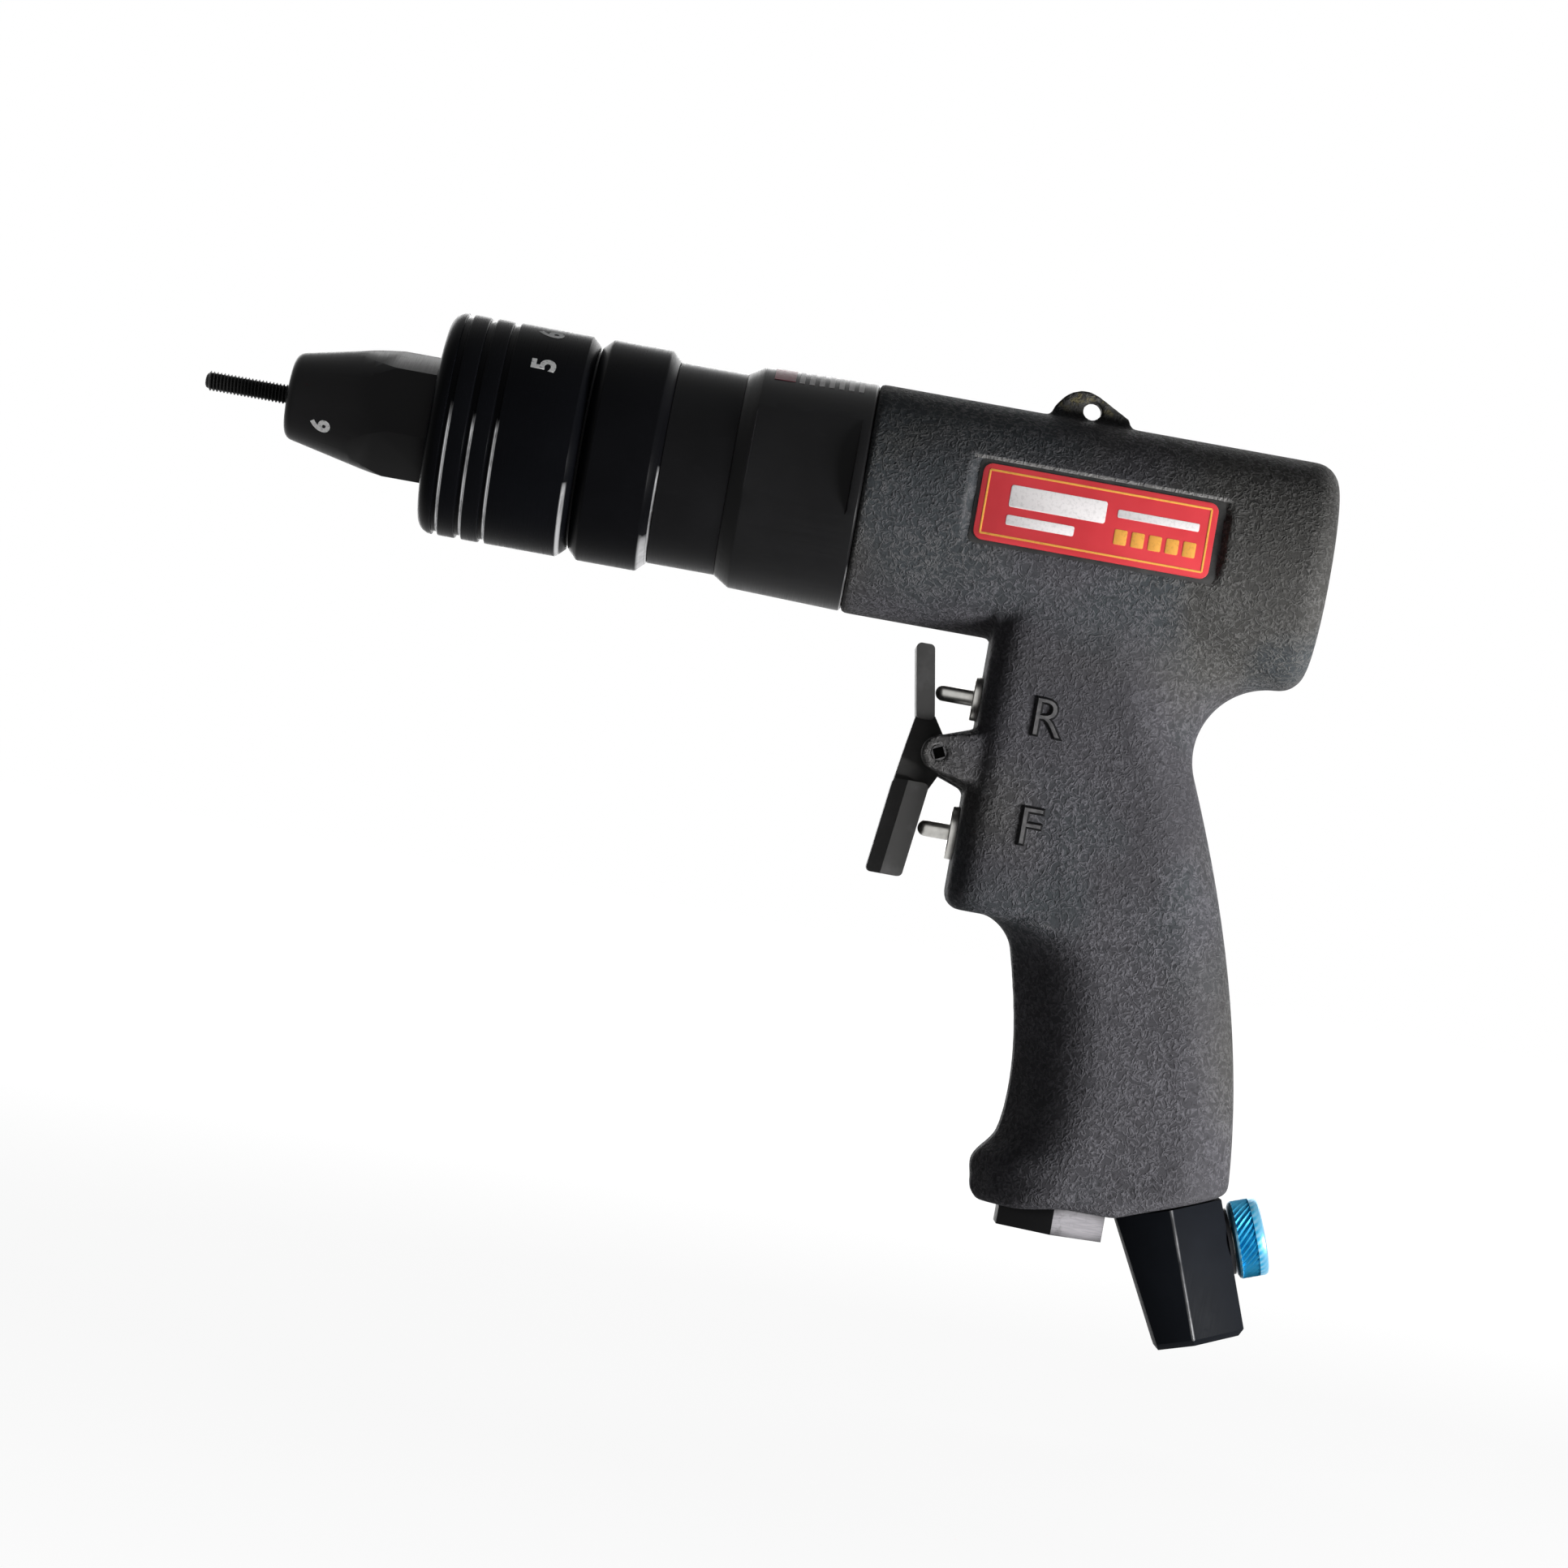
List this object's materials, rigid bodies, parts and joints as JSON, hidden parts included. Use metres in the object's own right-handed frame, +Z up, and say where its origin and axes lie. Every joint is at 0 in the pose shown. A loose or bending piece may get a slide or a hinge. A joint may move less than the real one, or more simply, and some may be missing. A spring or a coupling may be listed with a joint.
{
  "type": "pneumatic riveter",
  "caption": "Pistol-grip air tool that sets rivet nuts: a vane motor turns a threaded mandrel through a planetary gear and a clutch, with a rocker trigger and a throttle knob.",
  "frame": {"origin": "on the drive axis, in the front face of the nosepiece that presses on the work", "axes": "-X out of the nose along the mandrel, +Z up from the hand grip to the barrel, the name plate on the -Y side"},
  "size_m": [0.2389, 0.046, 0.184],
  "materials": {
    "housing_paint": "matte charcoal wrinkle paint on cast aluminium",
    "black_oxide": "gloss black oxide",
    "black_anodised": "gloss black anodised",
    "cap_black": "satin black oxide, worn to steel on one flat",
    "regulator_black": "satin black anodised",
    "plate_red": "satin printed foil",
    "trigger_black": "satin moulded",
    "knob_blue": "satin blue anodised, knurled",
    "mandrel_steel": "satin black steel, threaded",
    "spring_steel": "drawn wire",
    "rubber_black": "matte moulded",
    "bronze": "sintered",
    "vane_resin": "matte pressed",
    "motor_aluminium": "machined",
    "bright_steel": "satin turned",
    "gear_steel": "ground",
    "bearing_steel": "polished"
  },
  "bodies": {
    "housing": {"nosepiece": "black_oxide", "clutch_housing": "black_oxide", "thrust_front_race": "bearing_steel", "thrust_balls": "bearing_steel", "spindle_bearing_outer_race": "bearing_steel", "spindle_bearing_balls": "bearing_steel", "gear_case": "black_oxide", "ring_gear": "gear_steel", "front_end_plate": "motor_aluminium", "motor_cylinder": "gear_steel", "rear_end_plate": "motor_aluminium", "motor_dowel": "gear_steel", "motor_washer": "gear_steel", "front_bearing_outer_race": "bearing_steel", "front_bearing_balls": "bearing_steel", "rear_bearing_outer_race": "bearing_steel", "rear_bearing_balls": "bearing_steel", "motor_housing": "housing_paint", "name_plate": "plate_red", "trigger_pin": "bright_steel", "reverse_bush": "bright_steel", "forward_bush": "bright_steel", "reverse_spring": "spring_steel", "forward_spring": "spring_steel", "exhaust_cap": "cap_black", "silencer": "bronze", "inlet_nipple": "bright_steel", "inlet_screen": "bronze", "inlet_gasket": "rubber_black", "regulator_body": "regulator_black", "regulator_seal": "rubber_black", "regulator_washer": "bright_steel"},
    "spindle": {"mandrel": "mandrel_steel", "thrust_rear_race": "bearing_steel", "drive_sleeve": "gear_steel", "clutch_balls": "bearing_steel", "clutch_cam": "gear_steel", "clutch_spring": "spring_steel", "spring_seat": "gear_steel", "planet_carrier": "gear_steel", "planet_pins": "gear_steel", "spindle_bearing_inner_race": "bearing_steel"},
    "planet_1": {"planet_gear_1": "gear_steel"},
    "planet_2": {"planet_gear_2": "gear_steel"},
    "planet_3": {"planet_gear_3": "gear_steel"},
    "rotor": {"rotor": "gear_steel", "rotor_vanes": "vane_resin", "front_bearing_inner_race": "bearing_steel", "rear_bearing_inner_race": "bearing_steel"},
    "size_ring": {"size_ring": "black_anodised"},
    "lock_ring": {"lock_ring": "black_anodised"},
    "trigger": {"trigger": "trigger_black"},
    "reverse_valve": {"reverse_stem": "bright_steel", "reverse_seal": "rubber_black"},
    "forward_valve": {"forward_stem": "bright_steel", "forward_seal": "rubber_black"},
    "regulator_knob": {"regulator_knob": "knob_blue", "regulator_spindle": "bright_steel", "knob_screw": "bright_steel"}
  },
  "joints": [
    {"name": "spindle_spin", "type": "hinge", "parent": "housing", "child": "spindle", "pos_m": [0, 0, 0], "axis": [1, 0, 0], "continuous": true},
    {"name": "rotor_spin", "type": "hinge", "parent": "housing", "child": "rotor", "pos_m": [0.156, 0, 0], "axis": [1, 0, 0], "continuous": true},
    {"name": "planet_1_spin", "type": "hinge", "parent": "spindle", "child": "planet_1", "pos_m": [0.10835, 0.00945, 0], "axis": [1, 0, 0], "continuous": true},
    {"name": "planet_2_spin", "type": "hinge", "parent": "spindle", "child": "planet_2", "pos_m": [0.10835, -0.00473, 0.00818], "axis": [1, 0, 0], "continuous": true},
    {"name": "planet_3_spin", "type": "hinge", "parent": "spindle", "child": "planet_3", "pos_m": [0.10835, -0.00473, -0.00818], "axis": [1, 0, 0], "continuous": true},
    {"name": "size_ring_turn", "type": "hinge", "parent": "housing", "child": "size_ring", "pos_m": [0.045, 0, 0], "axis": [1, 0, 0], "range_deg": [-135, 135]},
    {"name": "lock_ring_turn", "type": "hinge", "parent": "housing", "child": "lock_ring", "pos_m": [0.0676, 0, 0], "axis": [1, 0, 0], "range_deg": [0, 180]},
    {"name": "trigger_rock", "type": "hinge", "parent": "housing", "child": "trigger", "pos_m": [0.13905, 0, -0.0474], "axis": [0, 1, 0], "range_deg": [-8, 8], "stiffness_Nm_per_rad": 0.5},
    {"name": "reverse_valve_slide", "type": "slide", "parent": "housing", "child": "reverse_valve", "axis": [1, 0, 0], "range_m": [-0.00175, 0.00175], "deforming": ["reverse_spring"]},
    {"name": "forward_valve_slide", "type": "slide", "parent": "housing", "child": "forward_valve", "axis": [1, 0, 0], "range_m": [-0.0021, 0.0021], "deforming": ["forward_spring"]},
    {"name": "regulator_turn", "type": "hinge", "parent": "housing", "child": "regulator_knob", "pos_m": [0.21273, 0, -0.13224], "axis": [0.9397, 0, 0.342], "range_deg": [0, 90]}
  ],
  "couplings": [
    {"joint": "rotor_spin", "follows": "spindle_spin", "ratio": 4.5},
    {"joint": "planet_1_spin", "follows": "spindle_spin", "ratio": -2.8},
    {"joint": "planet_2_spin", "follows": "spindle_spin", "ratio": -2.8},
    {"joint": "planet_3_spin", "follows": "spindle_spin", "ratio": -2.8},
    {"joint": "reverse_valve_slide", "follows": "trigger_rock", "m_per_rad": 0.0122},
    {"joint": "forward_valve_slide", "follows": "trigger_rock", "m_per_rad": -0.0148}
  ]
}
